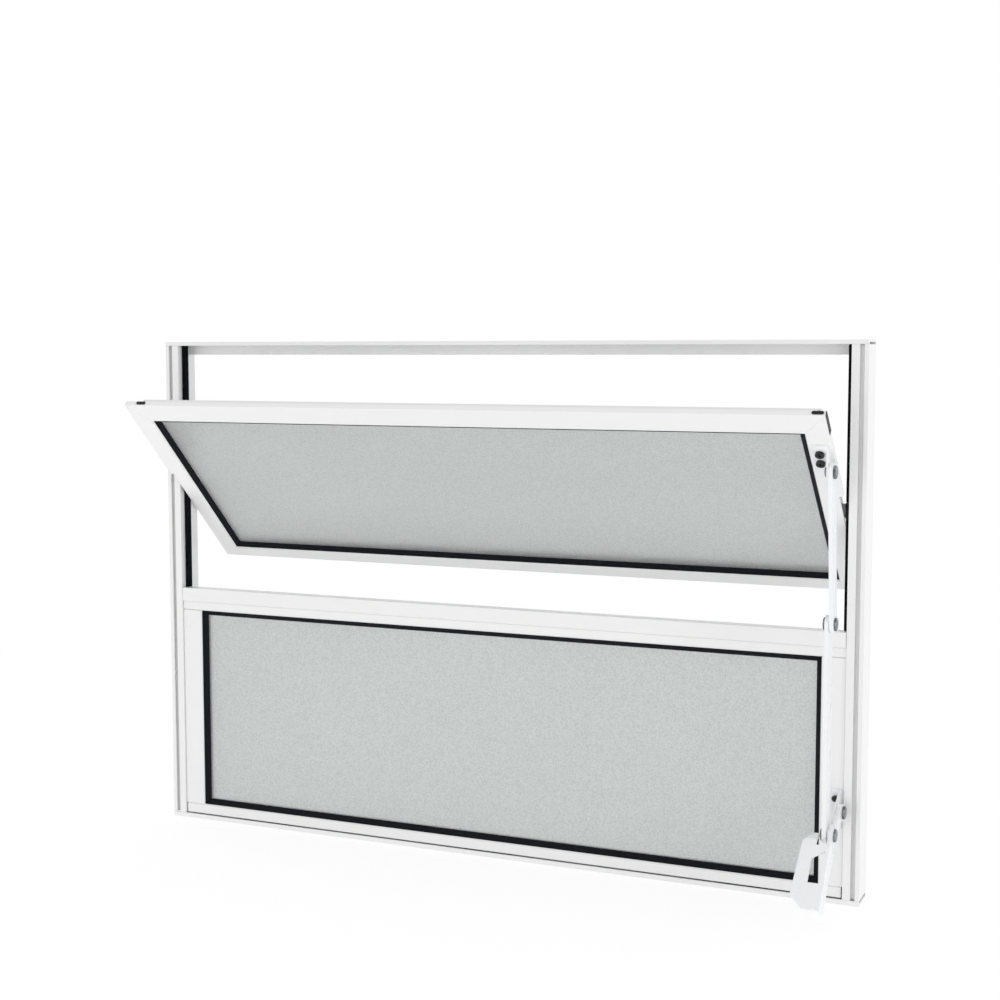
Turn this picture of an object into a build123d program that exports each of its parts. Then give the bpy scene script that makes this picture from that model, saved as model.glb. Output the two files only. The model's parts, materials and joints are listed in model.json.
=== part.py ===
from build123d import *
from math import acos, atan2, cos, degrees, hypot, radians, sin
import os

# Pivoting window for a small wall opening. An outer frame of four extruded bars holds a glazed fixed
# light below a transom. Above the transom a glazed sash turns on two side pins. A crank lever by the
# right jamb pushes two riveted link bars, which open the sash.
#
# Millimetres. X runs along the sill, +Y points into the wall and the front is -Y, +Z is up. The origin
# is the middle of the sill's underside. The window is drawn with its sash open at open_angle.

os.makedirs("parts", exist_ok=True)

# ---------------------------------------------------------------- overall sizes
frame_width = 600.0
frame_height = 414.0
frame_depth = 25.0

# ---------------------------------------------------------------- walls and clearances
wall = 1.4                    # wall of every aluminium extrusion
web = 1.6                     # outer web of the head and the sill
seat_gap = 0.1                # a piece pushed into its pocket or hole
pin_gap = 0.05                # running fit of a pin in its hole, on the radius
running_gap = 0.3             # air between a moving piece and what it passes
closing_gap = 0.6             # air between the closed sash's plates and the strips

# ---------------------------------------------------------------- frame bars
jamb_width = 12.5
jamb_tube_width = 6.0         # hollow inner tube of the jamb
jamb_groove_width = 3.3       # shadow groove between the tube and the outer lip
jamb_groove_depth = 3.5
head_lip_height = 3.2
sill_lip_height = 3.8
stop_recess = 17.0            # from the frame's front to the leg behind sash and fixed light
head_leg_height = 10.8        # from the top of the frame to the leg's free edge
sill_leg_height = 12.0

# ---------------------------------------------------------------- side strips
strip_recess = 5.3            # from the frame's front to the strip
strip_depth = 6.0
strip_height = 3.3            # how far the strip stands proud of the jamb beside the sash
strip_slot = 3.0              # width of the slot that holds its foot
strip_foot = 2.0              # how far the foot reaches into the jamb

# ---------------------------------------------------------------- glazing
glass_thickness = 4.0
fixed_glass_recess = 5.3      # from the fixed light's front face to its glass
sash_glass_recess = 4.3       # from the sash's front face to its glass
glass_bite = 1.0              # how far the glass reaches behind the rail's edge
pocket_depth = 3.0            # depth of the glazing pocket
edge_chamfer = 1.0            # along each rail's inner front edge
gasket_front_width = 4.2      # black wedge that shows in front
gasket_back_width = 4.0
gasket_lip = 0.5              # thickness of the wedge's thin edge

# ---------------------------------------------------------------- fixed light
side_gap = 0.3                # between the fixed light and each jamb
fixed_recess = 1.5            # from the frame's front to the fixed light's face
fixed_stile_width = 18.0
fixed_rail_height = 8.4
fixed_rail_end_gap = 1.1      # between the bottom rail's end and the jamb
fixed_rail_lift = 0.8         # shadow line between the sill's lip and the bottom rail
packer_length = 40.0
packer_spread = 210.0         # from the middle of the sill to each outer packer
stile_screw_heights = (40.0, 140.0)
side_screw_recess = 13.0      # from the frame's front to the screws through the jambs
side_screw_length = 16.0
hex_head_radius = 2.9         # turned with a thin spanner from the open back of the jamb
stile_screw_length = 16.0     # up through the bottom rail into each stile's block
corner_screw_inset = 4.0      # from the frame's front and back
corner_screw_radius = 1.5
corner_screw_head_radius = 2.9
corner_screw_length = 22.0

# ---------------------------------------------------------------- transom
transom_bottom = 183.3
transom_height = 19.2
transom_step_height = 7.4     # recessed band along its lower edge
transom_line_width = 0.5
transom_line_depth = 1.8
transom_top_depth = 11.3      # depth of its upper part, which the sash closes against
transom_shelf_drop = 4.6      # its rear shelf below its top
screw_port_radius = 2.8       # round screw port inside it
screw_port_rise = 8.1         # from its lower edge

# ---------------------------------------------------------------- sash, measured closed
open_angle = 46.0
pivot_height = 290.5
pivot_recess = 8.3            # from the frame's front to the pivot axis
sash_recess = 0.6             # from the frame's front to the closed sash's face
sash_depth = 15.4
sash_opening_height = 168.0   # glass opening
sash_opening_rise = 7.7       # its centre above the pivot
sash_stile_width = 11.3       # tubular part of each stile
sash_top_body = 10.0          # tubular part of the top rail
sash_bottom_body = 11.0       # tubular part of the bottom rail
sash_top_flange = 10.0        # front flange above the top rail's tube
sash_bottom_flange = 4.0      # rear flange below the bottom rail's tube
flange_depth = 4.4
flange_side_gap = 0.8         # between a side flange and the jamb
pivot_clear_height = 25.0     # half height of the zone without side flanges
plug_length = 8.4
plug_width = 2.6
plug_proud = 0.8
left_plug_inset = 15.5        # from the end of the top flange to the middle of the plug
right_plug_inset = 5.5
plug_tab_thickness = 0.4      # the right plug's tab, down the end of the flange
plug_tab_length = 20.0

# ---------------------------------------------------------------- pivots
pivot_radius = 2.5
pivot_head_radius = 4.0
pivot_head_thickness = 1.2
pivot_reach = 3.5             # how far the pin reaches into the sash stile
pivot_block_height = 12.4
pivot_washer_radius = 5.2

# ---------------------------------------------------------------- crank linkage, drawn open
lever_pivot_height = 71.2
lever_pivot_proud = 7.0       # lever pivot in front of the frame
crank_radius = 29.95          # lever pivot to crank rivet
crank_angle = 107.9           # of the open crank, from upright towards the front
lower_bar_below_pivots = 138.08  # how far the lower bar's length falls short of pivot_height
upper_bar_length = 108.56
joint_side = -1               # the bars' joint lies behind the line from the crank to the sash
top_rivet_proud = 9.2         # in front of the sash's face
top_rivet_rise = 63.4         # above the pivot, on the closed sash
bar_width = 12.7
bar_thickness = 3.0
rivet_radius = 2.0
rivet_head_radius = 4.75
rivet_tail_radius = 3.6       # formed end of the rivets in the brackets
rivet_head_thickness = 1.5
rivet_dome = 0.6              # rounding of a rivet's rim, as a share of its head's thickness
loose_rivet_radius = 1.6      # shank of the rivet that joins the two bars
loose_hole_radius = 3.7       # its slack hole in the lower bar
spacer_radius = 4.5
link_inset = 3.5              # from the jamb's inner face to the lower bar's outer face

# ---------------------------------------------------------------- lever, as steps forwards and up
lever_thickness = 2.5
lever_offset = 2.3            # from the lower bar's outer face to the lever's plate
lever_boss_radius = 6.3
lever_top = (5.9, 6.9)        # middle of the sheet at the front edge of its plate
lever_bend = (40.2, -11.5)
lever_tip = (73.2, -50.1)
lever_bend_radius = 60.0
lever_heel = [(60.5, -57.0), (45.0, -38.0), (30.0, -22.5), (12.0, -9.5)]
grip_width = 22.0             # across the hand grip, with the plate's thickness
grip_taper = 2.3
grip_tab_width = 12.0         # upper part of the grip, beside the bars
grip_tab_end = (32.0, -8.6)
grip_tab_top = (38.9, -10.9)
grip_tab_radius = 6.0
grip_start = (42.0, -13.6)    # where the full width of the grip begins
grip_corner_low = 2.6         # cut across the tab's outer corner, up from the grip's start
grip_corner_high = 10.2
grip_corner_across = 6.5
window_width = 9.2
window_top = 4.0              # from the grip's start, at the plate
window_slant = 5.8
window_bottom = 29.0
corner_cut = 9.0

# ---------------------------------------------------------------- brackets and screws
bracket_thickness = 1.5
sash_bracket_width = 10.0
sash_bracket_above = 17.9     # above and below the top rivet
sash_bracket_below = 13.2
sash_ear_margin = 5.8         # past the rivet, at its height
sash_ear_start = 3.4          # where the ear's slanted edge begins, in front of the sash
sash_ear_rise = 11.3
sash_screws = [(6.6, 9.9), (7.4, 0.4)]     # from the ear's outer face, and above the rivet
lever_bracket_width = 7.0
lever_bracket_above = 14.8
lever_bracket_below = 14.2
lever_ear_margin = 14.0
lever_ear_start = 6.2
lever_ear_rise = 13.8
lever_ear_shoulder = 3.8
lever_screws = [(4.6, 8.2), (4.1, -10.8)]
ear_corner = 2.0
sash_screw_head_radius = 3.3
small_screw_head_radius = 2.3
screw_head_height = 1.9
screw_radius = 1.6
screw_length = 9.0
recess_length = 3.2           # cross recess in the screw heads
recess_width = 0.8
recess_depth = 0.9
cleat_arm = 20.0
cleat_gap = 0.3

# ---------------------------------------------------------------- worked out from the sizes above
front = -frame_depth / 2
back = frame_depth / 2
jamb_face = frame_width / 2 - jamb_width
jamb_tube_middle = jamb_face + jamb_tube_width / 2
strip_front = front + strip_recess
strip_back = strip_front + strip_depth
strip_face = jamb_face - strip_height
stop_face = front + stop_recess
jamb_bottom = sill_lip_height
jamb_top = frame_height - head_lip_height
fixed_front = front + fixed_recess
fixed_half = jamb_face - side_gap
fixed_rail_half = jamb_face - fixed_rail_end_gap
opening_half = fixed_half - fixed_stile_width
fixed_bottom = sill_lip_height + fixed_rail_lift
fixed_low = fixed_bottom + fixed_rail_height
transom_top = transom_bottom + transom_height
sash_front = front + sash_recess
sash_back = sash_front + sash_depth
sash_middle = pivot_height + sash_opening_rise
sash_low = sash_middle - sash_opening_height / 2
sash_high = sash_middle + sash_opening_height / 2
sash_body_half = opening_half + sash_stile_width
sash_flange_half = jamb_face - flange_side_gap
sash_plate_half = strip_face - closing_gap
sash_top = sash_high + sash_top_body + sash_top_flange
sash_body_top = sash_high + sash_top_body
sash_body_bottom = sash_low - sash_bottom_body
sash_bottom = sash_body_bottom - sash_bottom_flange
pivot_depth = front + pivot_recess
flange_low = pivot_height + pivot_clear_height
flange_high = pivot_height - pivot_clear_height
sash_axis = Axis((0, pivot_depth, pivot_height), (1, 0, 0))
lever_pivot = Vector(0, front - lever_pivot_proud, lever_pivot_height)
slot_middle = strip_front + strip_depth / 2
side_screw_depth = front + side_screw_recess
screw_port_height = transom_bottom + screw_port_rise
side_screw_heights = (*stile_screw_heights, screw_port_height)
transom_shelf = transom_top - transom_shelf_drop
link_plane = jamb_face - link_inset
lower_bar_length = pivot_height - lower_bar_below_pivots
lever_plane = link_plane + lever_offset


FROM_END = (Align.CENTER, Align.CENTER, Align.MIN)


def turned(angle, length):
    """Step of this length at an angle from upright towards the front."""
    return Vector(0, -sin(radians(angle)) * length, cos(radians(angle)) * length)


def meeting_point(low, low_length, high, high_length):
    """Point in front of the line low-high, at the two given distances from its ends."""
    across = high - low
    cosine = (low_length**2 + across.length**2 - high_length**2) / (2 * low_length * across.length)
    upright = degrees(atan2(-across.Y, across.Z))
    return low + turned(upright + joint_side * degrees(acos(cosine)), low_length)


crank_pin = lever_pivot + turned(crank_angle, crank_radius)
closed_top_pin = Vector(0, sash_front - top_rivet_proud, pivot_height + top_rivet_rise)
top_pin = Vertex(*closed_top_pin).rotate(sash_axis, open_angle).center()
middle_pin = meeting_point(crank_pin, lower_bar_length, top_pin, upper_bar_length)


def strip(us, vs, mode=Mode.ADD):
    """Adds or cuts a rectangle that spans these pairs in the sketch's two directions."""
    with Locations(((us[0] + us[1]) / 2, (vs[0] + vs[1]) / 2)):
        Rectangle(abs(us[1] - us[0]), abs(vs[1] - vs[0]), mode=mode)


def block(xs, ys, zs, mode=Mode.ADD):
    """Adds or cuts a block that spans these pairs of X, Y and Z."""
    with Locations(((xs[0] + xs[1]) / 2, (ys[0] + ys[1]) / 2, (zs[0] + zs[1]) / 2)):
        Box(abs(xs[1] - xs[0]), abs(ys[1] - ys[0]), abs(zs[1] - zs[0]), mode=mode)


def rod(start, end, radius, mode=Mode.ADD):
    """Adds or cuts a round bar between two points."""
    along = Vector(end) - Vector(start)
    with Locations(Plane(Vector(start), z_dir=along).location):
        Cylinder(radius, along.length, align=FROM_END, mode=mode)


def keep(piece, name, angle=0.0):
    """Turns a finished piece about the sash's pivots, names it and writes it."""
    solid = piece.part.rotate(sash_axis, angle) if angle else piece.part
    solid.label = name
    export_step(solid, f"parts/{name}.step")
    return solid


# ================================================================ outer frame
corner_screws = [
    (side * jamb_tube_middle, depth)
    for side in (-1, 1)
    for depth in (front + corner_screw_inset, back - corner_screw_inset)
]


def cross_bar(name, outer_face, outwards, lip_height, leg_height):
    """Head or sill: an outer web, a lip along each edge and a leg behind the lights."""
    lip_edge = outer_face - outwards * lip_height
    web_inner = outer_face - outwards * web
    with BuildPart() as bar:
        with BuildSketch(Plane.YZ.offset(-frame_width / 2)):
            strip((front, back), (outer_face, web_inner))
            strip((front, front + web), (outer_face, lip_edge))
            strip((back - web, back), (outer_face, lip_edge))
        extrude(amount=frame_width)
        with BuildSketch(Plane.YZ.offset(-jamb_face)):
            strip((stop_face, stop_face + web), (outer_face, outer_face - outwards * leg_height))
        extrude(amount=2 * jamb_face)
        for x, y in corner_screws:
            rod((x, y, web_inner), (x, y, outer_face), corner_screw_radius + seat_gap, Mode.SUBTRACT)
            with Locations(Plane((x, y, outer_face), z_dir=(0, 0, -outwards)).location):
                countersink(corner_screw_head_radius + seat_gap, Mode.SUBTRACT)
    keep(bar, name)


def countersink(radius, mode=Mode.ADD):
    """Adds or cuts the cone under a flush screw head, wide end at the location."""
    Cone(radius, corner_screw_radius, radius - corner_screw_radius, align=FROM_END, mode=mode)


def jamb(name, side):
    """Side bar: an inner tube that carries the strip, a shadow groove and an outer leg with a lip."""
    inner = side * jamb_face
    tube_outer = side * (jamb_face + jamb_tube_width)
    groove_outer = side * (jamb_face + jamb_tube_width + jamb_groove_width)
    outer = side * frame_width / 2
    skin = side * wall
    slot = (slot_middle - strip_slot / 2, slot_middle + strip_slot / 2)
    with BuildPart() as bar:
        with BuildSketch(Plane.XY.offset(jamb_bottom)):
            strip((inner, tube_outer), (front, back))
            strip((inner + skin, tube_outer - skin), (front + wall, back - wall), Mode.SUBTRACT)
            strip((inner, inner + skin), slot, Mode.SUBTRACT)
            strip((tube_outer, outer), (front + jamb_groove_depth, front + jamb_groove_depth + wall))
            strip((outer - skin, outer), (front, back))
            strip((groove_outer, outer), (front, front + wall))
        extrude(amount=jamb_top - jamb_bottom)
        rod(pivot_at(inner), pivot_at(inner + skin), pivot_radius + seat_gap, Mode.SUBTRACT)
        for height in side_screw_heights:
            ends = [(x, side_screw_depth, height) for x in (inner, tube_outer)]
            rod(*ends, screw_radius + seat_gap, Mode.SUBTRACT)
    keep(bar, name)


def pivot_at(x):
    """Point on the sash's axis."""
    return (x, pivot_depth, pivot_height)


def side_strip(name, side, low, high):
    """Black weather strip beside the sash, with its foot in the jamb's slot."""
    half_foot = strip_slot / 2 - seat_gap
    foot = (slot_middle - half_foot, slot_middle + half_foot)
    with BuildPart() as seal:
        with BuildSketch(Plane.XY.offset(low)):
            strip((side * strip_face, side * jamb_face), (strip_front, strip_back))
            strip((side * jamb_face, side * (jamb_face + strip_foot)), foot)
        extrude(amount=high - low)
    keep(seal, name)


def pivot_block(name, side):
    """Grey block in line with the strips, which spaces the sash off the jamb at its pivot."""
    half = pivot_block_height / 2
    with BuildPart() as spacer:
        block((side * strip_face, side * jamb_face), (strip_front, strip_back),
              (pivot_height - half, pivot_height + half))
        rod(pivot_at(side * strip_face), pivot_at(side * jamb_face), pivot_radius + seat_gap, Mode.SUBTRACT)
    keep(spacer, name)


def pivot_pin(name, side):
    """Headed pin from inside the jamb's tube into the sash stile."""
    tip = pivot_at(side * (sash_body_half - pivot_reach))
    head_seat = pivot_at(side * (jamb_face + wall))
    head_top = pivot_at(side * (jamb_face + wall + pivot_head_thickness))
    with BuildPart() as pin:
        rod(tip, head_seat, pivot_radius)
        rod(head_seat, head_top, pivot_head_radius)
    keep(pin, name)


def pivot_washer(name, side):
    """Nylon washer on the pin, against the sash stile."""
    faces = [pivot_at(side * x) for x in (sash_body_half, strip_face - running_gap)]
    with BuildPart() as washer:
        rod(*faces, pivot_washer_radius)
        rod(*faces, pivot_radius + pin_gap, Mode.SUBTRACT)
    keep(washer, name, open_angle)


cross_bar("frame_head", frame_height, 1, head_lip_height, head_leg_height)
cross_bar("frame_sill", 0, -1, sill_lip_height, sill_leg_height)
block_low = pivot_height - pivot_block_height / 2
block_high = pivot_height + pivot_block_height / 2
for hand, side in (("left", -1), ("right", 1)):
    jamb(f"frame_jamb_{hand}", side)
    side_strip(f"weatherstrip_{hand}_upper", side, block_high, jamb_top)
    side_strip(f"weatherstrip_{hand}_middle", side, transom_top, block_low)
    pivot_block(f"pivot_block_{hand}", side)
    pivot_pin(f"pivot_pin_{hand}", side)
    pivot_washer(f"pivot_washer_{hand}", side)

with BuildPart() as frame_corner_screws:
    for x, y in corner_screws:
        for face, inwards in ((0, 1), (frame_height, -1)):
            with Locations(Plane((x, y, face), z_dir=(0, 0, inwards)).location):
                countersink(corner_screw_head_radius)
                Cylinder(corner_screw_radius, corner_screw_length, align=FROM_END)
keep(frame_corner_screws, "frame_corner_screws")


# ================================================================ pieces shared by both lights
def edge_plane(edge, low, high):
    """Plane on one edge of a glass opening: local x points away from the glass, local y is depth."""
    middle = (low + high) / 2
    return {
        "left": Plane((-opening_half, 0, middle), x_dir=(-1, 0, 0), z_dir=(0, 0, -1)),
        "right": Plane((opening_half, 0, middle), x_dir=(1, 0, 0), z_dir=(0, 0, 1)),
        "top": Plane((0, 0, high), x_dir=(0, 0, 1), z_dir=(-1, 0, 0)),
        "bottom": Plane((0, 0, low), x_dir=(0, 0, -1), z_dir=(1, 0, 0)),
    }[edge]


def mitre(inner, outer, outwards):
    """Cutting plane through an inner and an outer corner, facing outwards, all as X and Z."""
    normal = Vector(outer[1] - inner[1], 0, inner[0] - outer[0])
    if normal.X * outwards[0] + normal.Z * outwards[1] < 0:
        normal = -normal
    return Plane((inner[0], 0, inner[1]), z_dir=normal)


def chamfered_edge(corner, outwards, backwards):
    """Cuts a rail's inner front edge in the sketch, from its corner and its two directions."""
    corner = Vector(*corner)
    cut = [corner, corner + Vector(*outwards) * edge_chamfer, corner + Vector(*backwards) * edge_chamfer]
    Polygon(*cut, align=None, mode=Mode.SUBTRACT)


def rail_section(width, front_face, back_face):
    """Hollow rail with a glazing pocket along its inner edge, which is chamfered in front."""
    inside = (front_face + wall, back_face - wall)
    strip((0, width), (front_face, back_face))
    chamfered_edge((0, front_face), (1, 0), (0, 1))
    strip((0, pocket_depth), inside, Mode.SUBTRACT)
    strip((pocket_depth + wall, width - wall), inside, Mode.SUBTRACT)


def glazing(light, low, high, front_face, back_face, glass_recess, angle=0.0):
    """Glass pane of one light and the four mitred gaskets that hold it."""
    glass_front = front_face + glass_recess
    glass_back = glass_front + glass_thickness
    with BuildPart() as pane:
        half = opening_half + glass_bite
        block((-half, half), (glass_front, glass_back), (low - glass_bite, high + glass_bite))
    keep(pane, f"{light}_glass", angle)
    pocket_front = front_face + wall + seat_gap
    pocket_back = back_face - wall - seat_gap
    slot_end = glass_bite + seat_gap
    outline = [
        (pocket_depth - seat_gap, pocket_front),
        (-seat_gap, pocket_front),
        (-seat_gap, front_face + edge_chamfer + seat_gap),
        (-gasket_front_width, glass_front - seat_gap - gasket_lip),
        (-gasket_front_width, glass_front - seat_gap),
        (slot_end, glass_front - seat_gap),
        (slot_end, glass_back + seat_gap),
        (-gasket_back_width, glass_back + seat_gap),
        (-gasket_back_width, glass_back + seat_gap + gasket_lip),
        (-seat_gap, back_face - gasket_lip),
        (-seat_gap, pocket_back),
        (pocket_depth - seat_gap, pocket_back),
    ]
    corners = {
        "left": [((-1, -1), (0, -1)), ((-1, 1), (0, 1))],
        "right": [((1, -1), (0, -1)), ((1, 1), (0, 1))],
        "top": [((-1, 1), (-1, 0)), ((1, 1), (1, 0))],
        "bottom": [((-1, -1), (-1, 0)), ((1, -1), (1, 0))],
    }
    for edge, ends in corners.items():
        with BuildPart() as gasket:
            with BuildSketch(edge_plane(edge, low, high)):
                with BuildLine():
                    Polyline(*outline, close=True)
                make_face()
            extrude(amount=frame_width, both=True)
            for corner, outwards in ends:
                inner = (corner[0] * opening_half, high if corner[1] > 0 else low)
                outer = (inner[0] + corner[0], inner[1] + corner[1])
                split(bisect_by=mitre(inner, outer, outwards), keep=Keep.BOTTOM)
        keep(gasket, f"{light}_gasket_{edge}", angle)


def corner_cleats(name, stile_width, mitre_width, corners, front_face, back_face, angle=0.0):
    """L-shaped corner keys in the hollow rails, clear of the pocket walls that meet on each mitre."""
    depth = (front_face + wall + cleat_gap, back_face - wall - cleat_gap)
    last = opening_half + stile_width - wall - cleat_gap
    with BuildPart() as keys:
        for edge_height, rail_height, mitre_height, upwards in corners:
            first = opening_half + (pocket_depth + wall) * max(1, mitre_width / mitre_height) + cleat_gap
            step = (pocket_depth + wall) * max(1, mitre_height / mitre_width) + cleat_gap
            near = edge_height + upwards * step
            far = edge_height + upwards * (rail_height - wall - cleat_gap)
            for side in (-1, 1):
                block((side * first, side * last), depth, (far, far - upwards * cleat_arm))
                block((side * last, side * (last - cleat_arm)), depth, (near, far))
    keep(keys, name, angle)


# ================================================================ fixed light and transom
for hand, side in (("left", -1), ("right", 1)):
    with BuildPart() as fixed_stile:
        with BuildSketch(edge_plane(hand, fixed_low, transom_bottom)):
            rail_section(fixed_stile_width, fixed_front, stop_face)
        extrude(amount=(transom_bottom - fixed_low) / 2, both=True)
        for height in stile_screw_heights:
            wall_faces = [(side * x, side_screw_depth, height) for x in (fixed_half - wall, fixed_half)]
            rod(*wall_faces, screw_radius + seat_gap, Mode.SUBTRACT)
        if side > 0:
            for inset, rise in lever_screws:
                x = lever_plane - running_gap - inset
                z = lever_pivot_height + rise
                rod((x, fixed_front, z), (x, fixed_front + wall, z), screw_radius + seat_gap, Mode.SUBTRACT)
    keep(fixed_stile, f"fixed_stile_{hand}")

# blocks in the stiles' hollows reach down into the bottom rail's pocket and are screwed from below
stile_block_inner = opening_half + pocket_depth + wall + cleat_gap
stile_block_outer = fixed_half - wall - cleat_gap
stile_block_faces = (fixed_front + wall + cleat_gap, stop_face - wall - cleat_gap)
stile_screws = [(side * (stile_block_inner + stile_block_outer) / 2, sum(stile_block_faces) / 2)
                for side in (-1, 1)]

with BuildPart() as fixed_bottom_rail:
    with BuildSketch(edge_plane("bottom", fixed_low, transom_bottom)):
        rail_section(fixed_rail_height, fixed_front, stop_face)
    extrude(amount=fixed_rail_half, both=True)
    for spot in stile_screws:
        rod((*spot, fixed_bottom), (*spot, fixed_low), corner_screw_radius + seat_gap, Mode.SUBTRACT)
        with Locations((*spot, fixed_bottom)):
            countersink(corner_screw_head_radius + seat_gap, Mode.SUBTRACT)
keep(fixed_bottom_rail, "fixed_bottom_rail")

with BuildPart() as fixed_light_cleats:
    for side in (-1, 1):
        block((side * stile_block_inner, side * stile_block_outer), stile_block_faces,
              (fixed_low - pocket_depth, fixed_low + cleat_arm))
    for spot in stile_screws:
        rod((*spot, fixed_bottom), (*spot, fixed_bottom + stile_screw_length),
            corner_screw_radius + seat_gap, Mode.SUBTRACT)
keep(fixed_light_cleats, "fixed_light_cleats")

with BuildPart() as fixed_light_screws:
    for spot in stile_screws:
        with Locations((*spot, fixed_bottom)):
            countersink(corner_screw_head_radius)
            Cylinder(corner_screw_radius, stile_screw_length, align=FROM_END)
keep(fixed_light_screws, "fixed_light_screws")

line_low = transom_bottom + transom_step_height
cavity_front = front + transom_line_depth + wall
cavity_back = front + transom_top_depth - wall
cavity_low = transom_bottom + pocket_depth + wall
with BuildPart() as transom:
    with BuildSketch(Plane.YZ.offset(-fixed_half)):
        strip((front, stop_face), (transom_bottom, transom_shelf))
        strip((front, front + transom_top_depth), (transom_bottom, transom_top))
        strip((front, fixed_front), (transom_bottom, line_low), Mode.SUBTRACT)
        chamfered_edge((fixed_front, transom_bottom), (0, 1), (1, 0))
        strip((front, front + transom_line_depth), (line_low, line_low + transom_line_width), Mode.SUBTRACT)
        strip((fixed_front + wall, stop_face - wall), (transom_bottom, cavity_low - wall), Mode.SUBTRACT)
        strip((cavity_front, stop_face - wall), (cavity_low, transom_shelf - wall), Mode.SUBTRACT)
        strip((cavity_front, cavity_back), (cavity_low, transom_top - wall), Mode.SUBTRACT)
        with Locations((side_screw_depth, screw_port_height)):
            Circle(screw_port_radius)
            Circle(screw_radius + seat_gap, mode=Mode.SUBTRACT)
    extrude(amount=2 * fixed_half)
keep(transom, "transom")

glazing("fixed", fixed_low, transom_bottom, fixed_front, stop_face, fixed_glass_recess)

with BuildPart() as sill_packers:
    for x in (-packer_spread, 0, packer_spread):
        length = (x - packer_length / 2, x + packer_length / 2)
        block(length, (fixed_front + web, stop_face), (web, fixed_bottom))
keep(sill_packers, "sill_packers")

with BuildPart() as side_screws:
    for side in (-1, 1):
        for height in side_screw_heights:
            seat = (side * (jamb_face + jamb_tube_width), side_screw_depth, height)
            rod((seat[0] - side * side_screw_length, *seat[1:]), seat, screw_radius)
            with BuildSketch(Plane(seat, z_dir=(side, 0, 0))):
                RegularPolygon(hex_head_radius, 6)
            extrude(amount=screw_head_height)
keep(side_screws, "side_screws")


# ================================================================ sash, built closed and turned open
def sash_corner(side, upper):
    """Inner and outer corner of the sash's face, as X and Z."""
    inner = (side * opening_half, sash_high if upper else sash_low)
    return inner, (side * sash_flange_half, sash_top if upper else sash_bottom)


front_skin = (sash_front, sash_front + wall)
back_skin = (sash_back - wall, sash_back)
front_return = (sash_front, sash_front + flange_depth)
back_return = (sash_back - flange_depth, sash_back)
plug_spots = [(x, sash_front + flange_depth / 2)
              for x in (left_plug_inset - sash_flange_half, sash_flange_half - right_plug_inset)]

for hand, side in (("left", -1), ("right", 1)):
    flange = (side * sash_body_half, side * sash_flange_half)
    flange_edge = (side * (sash_flange_half - wall), side * sash_flange_half)
    with BuildPart() as sash_stile:
        with BuildSketch(edge_plane(hand, sash_low, sash_high)):
            rail_section(sash_stile_width, sash_front, sash_back)
        extrude(amount=frame_height, both=True)
        block((side * opening_half, side * sash_body_half), (sash_front + wall, sash_back),
              (sash_body_top, sash_top), Mode.SUBTRACT)
        block(flange, front_skin, (flange_low, sash_top))
        block(flange_edge, front_return, (flange_low, sash_top))
        block((side * sash_body_half, side * sash_plate_half), front_skin, (sash_body_bottom, flange_low))
        block(flange, back_skin, (sash_bottom, flange_high))
        block(flange_edge, back_return, (sash_bottom, flange_high))
        split(bisect_by=mitre(*sash_corner(side, True), (0, 1)), keep=Keep.BOTTOM)
        split(bisect_by=mitre(*sash_corner(side, False), (0, -1)), keep=Keep.BOTTOM)
        rod(pivot_at(side * (sash_body_half - wall)), pivot_at(side * sash_body_half),
            pivot_radius + pin_gap, Mode.SUBTRACT)
        if side > 0:
            for inset, rise in sash_screws:
                x = link_plane - inset
                z = closed_top_pin.Z + rise
                rod((x, sash_front, z), (x, sash_front + wall, z), screw_radius + seat_gap, Mode.SUBTRACT)
    keep(sash_stile, f"sash_stile_{hand}", open_angle)

with BuildPart() as sash_top_rail:
    with BuildSketch(edge_plane("top", sash_low, sash_high)):
        rail_section(sash_top_body, sash_front, sash_back)
    extrude(amount=frame_width, both=True)
    block((-sash_flange_half, sash_flange_half), front_skin, (sash_body_top, sash_top))
    block((-sash_flange_half, sash_flange_half), front_return, (sash_top - wall, sash_top))
    for side in (-1, 1):
        split(bisect_by=mitre(*sash_corner(side, True), (side, 0)), keep=Keep.BOTTOM)
    for spot in plug_spots:
        rod((*spot, sash_top - wall), (*spot, sash_top), plug_width / 4 + seat_gap, Mode.SUBTRACT)
keep(sash_top_rail, "sash_top_rail", open_angle)

with BuildPart() as sash_bottom_rail:
    with BuildSketch(edge_plane("bottom", sash_low, sash_high)):
        rail_section(sash_bottom_body, sash_front, sash_back)
    extrude(amount=frame_width, both=True)
    for side in (-1, 1):
        block((side * sash_body_half, side * frame_width), (sash_front + wall, sash_back),
              (sash_body_bottom, sash_low), Mode.SUBTRACT)
    block((-sash_flange_half, sash_flange_half), back_skin, (sash_bottom, sash_body_bottom))
    block((-sash_flange_half, sash_flange_half), back_return, (sash_bottom, sash_bottom + wall))
    for side in (-1, 1):
        split(bisect_by=mitre(*sash_corner(side, False), (side, 0)), keep=Keep.BOTTOM)
keep(sash_bottom_rail, "sash_bottom_rail", open_angle)

glazing("sash", sash_low, sash_high, sash_front, sash_back, sash_glass_recess, open_angle)
corner_cleats("sash_corner_cleats", sash_stile_width, sash_flange_half - opening_half,
              [(sash_high, sash_top_body, sash_top - sash_high, 1),
               (sash_low, sash_bottom_body, sash_low - sash_bottom, -1)],
              sash_front, sash_back, open_angle)

with BuildPart() as sash_corner_plugs:
    for spot in plug_spots:
        with BuildSketch(Plane((*spot, sash_top))):
            SlotOverall(plug_length, plug_width)
        extrude(amount=plug_proud)
        rod((*spot, sash_top - wall), (*spot, sash_top), plug_width / 4)
    block((sash_flange_half, sash_flange_half + plug_tab_thickness), front_return,
          (sash_top - plug_tab_length, sash_top))
keep(sash_corner_plugs, "sash_corner_plugs", open_angle)


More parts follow.
